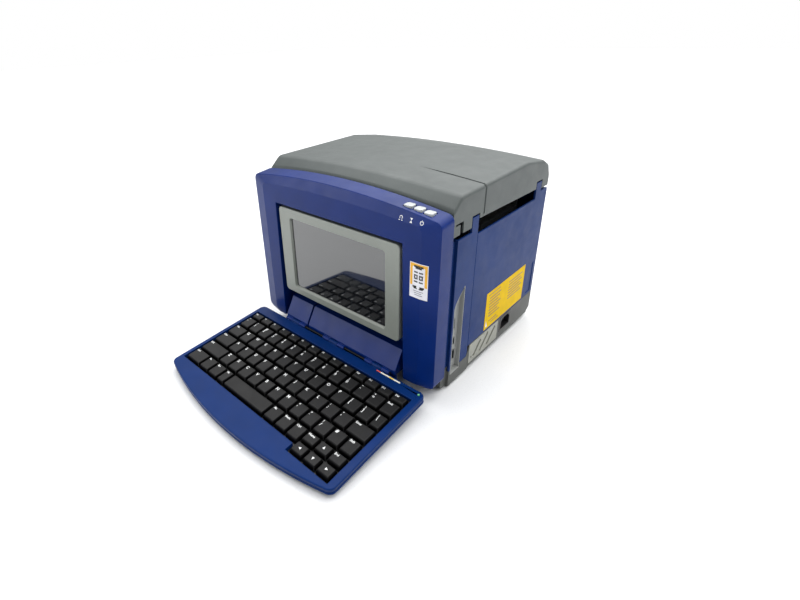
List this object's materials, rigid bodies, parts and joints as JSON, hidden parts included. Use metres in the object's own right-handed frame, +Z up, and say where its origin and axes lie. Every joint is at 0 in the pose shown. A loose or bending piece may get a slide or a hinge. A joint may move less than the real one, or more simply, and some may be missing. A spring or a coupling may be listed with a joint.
{
  "type": "label and sign printer",
  "caption": "Desktop thermal-transfer label and sign printer: tilting touch display, fold-up keyboard tray, hinged lid, side label exit with cutter, and geared ribbon and platen drive.",
  "frame": {"origin": "on the plane the feet stand on, under the middle of the whole machine's box with the keyboard tray folded out", "axes": "+X to the user's right seen from the front (the side with the sockets and the label exit), +Y to the back, +Z up"},
  "size_m": [0.29, 0.4328, 0.2463],
  "materials": {
    "bezel_blue": "fine satin texture",
    "cover_blue": "fine satin texture",
    "keyboard_blue": "fine satin texture",
    "lid_grey": "fine satin texture",
    "base_grey": "fine matte texture",
    "silver_frame": "satin",
    "screen_glass": "glossy",
    "key_black": "fine matte texture",
    "legend_white": "printed",
    "button_silver": "satin metallic",
    "panel_grey": "fine matte texture",
    "vent_grey": "fine matte texture",
    "socket_metal": "satin",
    "black_plastic": "satin",
    "rubber_black": "matte",
    "steel": "zinc plated",
    "shaft_steel": "ground",
    "brass_bush": "plain",
    "board_green": "solder mask",
    "label_yellow": "smooth film",
    "sticker_white": "smooth film",
    "light_strip": "diffusing",
    "roll_white": "coated label stock",
    "gear_white": "plain",
    "ribbon_black": "thin film",
    "head_ceramic": "glazed strip",
    "ink_black": "printed",
    "ink_amber": "printed",
    "ink_gold": "printed",
    "ink_grey": "printed"
  },
  "bodies": {
    "printer": {"front_bezel": "bezel_blue", "button_board": "board_green", "front_chassis": "cover_blue", "base_tray": "base_grey", "rubber_feet": "rubber_black", "case_screws": "steel", "port_column": "cover_blue", "right_cover": "cover_blue", "left_cover": "cover_blue", "rear_cover": "cover_blue", "port_panel": "panel_grey", "port_sockets": "socket_metal", "vent_grille": "vent_grey", "power_inlet": "black_plastic", "side_label": "label_yellow", "front_sticker": "sticker_white", "pivot_pins": "shaft_steel", "hinge_cover_left": "bezel_blue", "hinge_cover_right": "bezel_blue", "keyboard_hinge_rod": "shaft_steel", "media_deck": "panel_grey", "front_side_plate": "steel", "rear_side_plate": "steel", "roller_bushes": "brass_bush", "drive_motor": "steel", "label_web": "roll_white", "cutter_rail": "steel", "main_board": "board_green", "power_supply": "steel"},
    "lid": {"lid_shell": "lid_grey"},
    "display": {"display_frame": "silver_frame", "display_glass": "screen_glass", "display_back": "black_plastic"},
    "keyboard": {"keyboard_top": "keyboard_blue", "keyboard_bottom": "keyboard_blue", "keyboard_plate": "black_plastic", "indicator_strip": "light_strip", "keyboard_feet": "rubber_black"},
    "feed_key": {"feed_button": "button_silver"},
    "cut_key": {"cut_button": "button_silver"},
    "power_key": {"power_button": "button_silver"},
    "function_row": {"function_keys": "key_black"},
    "number_row": {"number_keys": "key_black"},
    "upper_row": {"upper_keys": "key_black"},
    "home_row": {"home_keys": "key_black"},
    "lower_row": {"lower_keys": "key_black"},
    "modifier_row": {"modifier_keys": "key_black"},
    "space_key": {"space_bar": "key_black"},
    "arrow_cluster": {"arrow_keys": "key_black"},
    "roll": {"label_roll": "roll_white", "roll_spindle": "gear_white"},
    "platen": {"platen_roller": "rubber_black"},
    "pinion": {"motor_pinion": "brass_bush"},
    "idler": {"idler_gear": "gear_white"},
    "takeup_spool": {"ribbon_takeup": "ribbon_black"},
    "supply_spool": {"ribbon_supply": "ribbon_black"},
    "head": {"head_arm": "steel", "print_head": "head_ceramic"},
    "lever": {"head_lever": "label_yellow"},
    "cutter": {"cutter_carriage": "black_plastic"}
  },
  "joints": [
    {"name": "lid_hinge", "type": "hinge", "parent": "printer", "child": "lid", "pos_m": [0, 0.21038, 0.2015], "axis": [-1, 0, 0], "range_deg": [0, 90]},
    {"name": "display_tilt", "type": "hinge", "parent": "printer", "child": "display", "pos_m": [0, -0.03262, 0.182], "axis": [-1, 0, 0], "range_deg": [0, 25]},
    {"name": "keyboard_fold", "type": "hinge", "parent": "printer", "child": "keyboard", "pos_m": [0, -0.04822, 0.0259], "axis": [1, 0, 0], "range_deg": [-94.5, 0]},
    {"name": "feed_press", "type": "slide", "parent": "printer", "child": "feed_key", "axis": [0, 0, -1], "range_m": [0, 0.0015], "stiffness_N_per_m": 600, "springref_m": -0.0005},
    {"name": "cut_press", "type": "slide", "parent": "printer", "child": "cut_key", "axis": [0, 0, -1], "range_m": [0, 0.0015], "stiffness_N_per_m": 600, "springref_m": -0.0005},
    {"name": "power_press", "type": "slide", "parent": "printer", "child": "power_key", "axis": [0, 0, -1], "range_m": [0, 0.0015], "stiffness_N_per_m": 600, "springref_m": -0.0005},
    {"name": "function_press", "type": "slide", "parent": "keyboard", "child": "function_row", "axis": [0, 0.0785, -0.9969], "range_m": [0, 0.0015], "stiffness_N_per_m": 800, "springref_m": -0.0008},
    {"name": "number_press", "type": "slide", "parent": "keyboard", "child": "number_row", "axis": [0, 0.0785, -0.9969], "range_m": [0, 0.0015], "stiffness_N_per_m": 800, "springref_m": -0.0008},
    {"name": "upper_press", "type": "slide", "parent": "keyboard", "child": "upper_row", "axis": [0, 0.0785, -0.9969], "range_m": [0, 0.0015], "stiffness_N_per_m": 800, "springref_m": -0.0008},
    {"name": "home_press", "type": "slide", "parent": "keyboard", "child": "home_row", "axis": [0, 0.0785, -0.9969], "range_m": [0, 0.0015], "stiffness_N_per_m": 800, "springref_m": -0.0008},
    {"name": "lower_press", "type": "slide", "parent": "keyboard", "child": "lower_row", "axis": [0, 0.0785, -0.9969], "range_m": [0, 0.0015], "stiffness_N_per_m": 800, "springref_m": -0.0008},
    {"name": "modifier_press", "type": "slide", "parent": "keyboard", "child": "modifier_row", "axis": [0, 0.0785, -0.9969], "range_m": [0, 0.0015], "stiffness_N_per_m": 800, "springref_m": -0.0008},
    {"name": "space_press", "type": "slide", "parent": "keyboard", "child": "space_key", "axis": [0, 0.0785, -0.9969], "range_m": [0, 0.0015], "stiffness_N_per_m": 800, "springref_m": -0.0008},
    {"name": "arrow_press", "type": "slide", "parent": "keyboard", "child": "arrow_cluster", "axis": [0, 0.0785, -0.9969], "range_m": [0, 0.0015], "stiffness_N_per_m": 800, "springref_m": -0.0008},
    {"name": "platen_spin", "type": "hinge", "parent": "printer", "child": "platen", "pos_m": [0.075, 0.11088, 0.1817], "axis": [0, 1, 0], "continuous": true},
    {"name": "roll_spin", "type": "hinge", "parent": "printer", "child": "roll", "pos_m": [-0.072, 0.11088, 0.118], "axis": [0, 1, 0], "continuous": true},
    {"name": "pinion_spin", "type": "hinge", "parent": "printer", "child": "pinion", "pos_m": [0.06474, 0.04588, 0.15351], "axis": [0, 1, 0], "continuous": true},
    {"name": "idler_spin", "type": "hinge", "parent": "printer", "child": "idler", "pos_m": [0.09798, 0.04588, 0.20175], "axis": [0, 1, 0], "continuous": true},
    {"name": "takeup_spin", "type": "hinge", "parent": "printer", "child": "takeup_spool", "pos_m": [0.11192, 0.11088, 0.21391], "axis": [0, 1, 0], "continuous": true},
    {"name": "supply_spin", "type": "hinge", "parent": "printer", "child": "supply_spool", "pos_m": [0.028, 0.11088, 0.212], "axis": [0, 1, 0], "continuous": true},
    {"name": "lever_turn", "type": "hinge", "parent": "printer", "child": "lever", "pos_m": [0.038, 0.03988, 0.214], "axis": [0, 1, 0], "range_deg": [0, 50]},
    {"name": "head_lift", "type": "hinge", "parent": "printer", "child": "head", "pos_m": [0.052, 0.11088, 0.212], "axis": [0, -1, 0], "range_deg": [0, 12]},
    {"name": "cutter_slide", "type": "slide", "parent": "printer", "child": "cutter", "axis": [0, 1, 0], "range_m": [0, 0.096]}
  ],
  "couplings": [
    {"joint": "roll_spin", "follows": "platen_spin", "ratio": 0.14546},
    {"joint": "pinion_spin", "follows": "platen_spin", "ratio": -2.75},
    {"joint": "idler_spin", "follows": "platen_spin", "ratio": -2.5882},
    {"joint": "takeup_spin", "follows": "platen_spin", "ratio": 2.2},
    {"joint": "supply_spin", "follows": "platen_spin", "ratio": 0.61538},
    {"joint": "head_lift", "follows": "lever_turn", "ratio": 0.24}
  ]
}
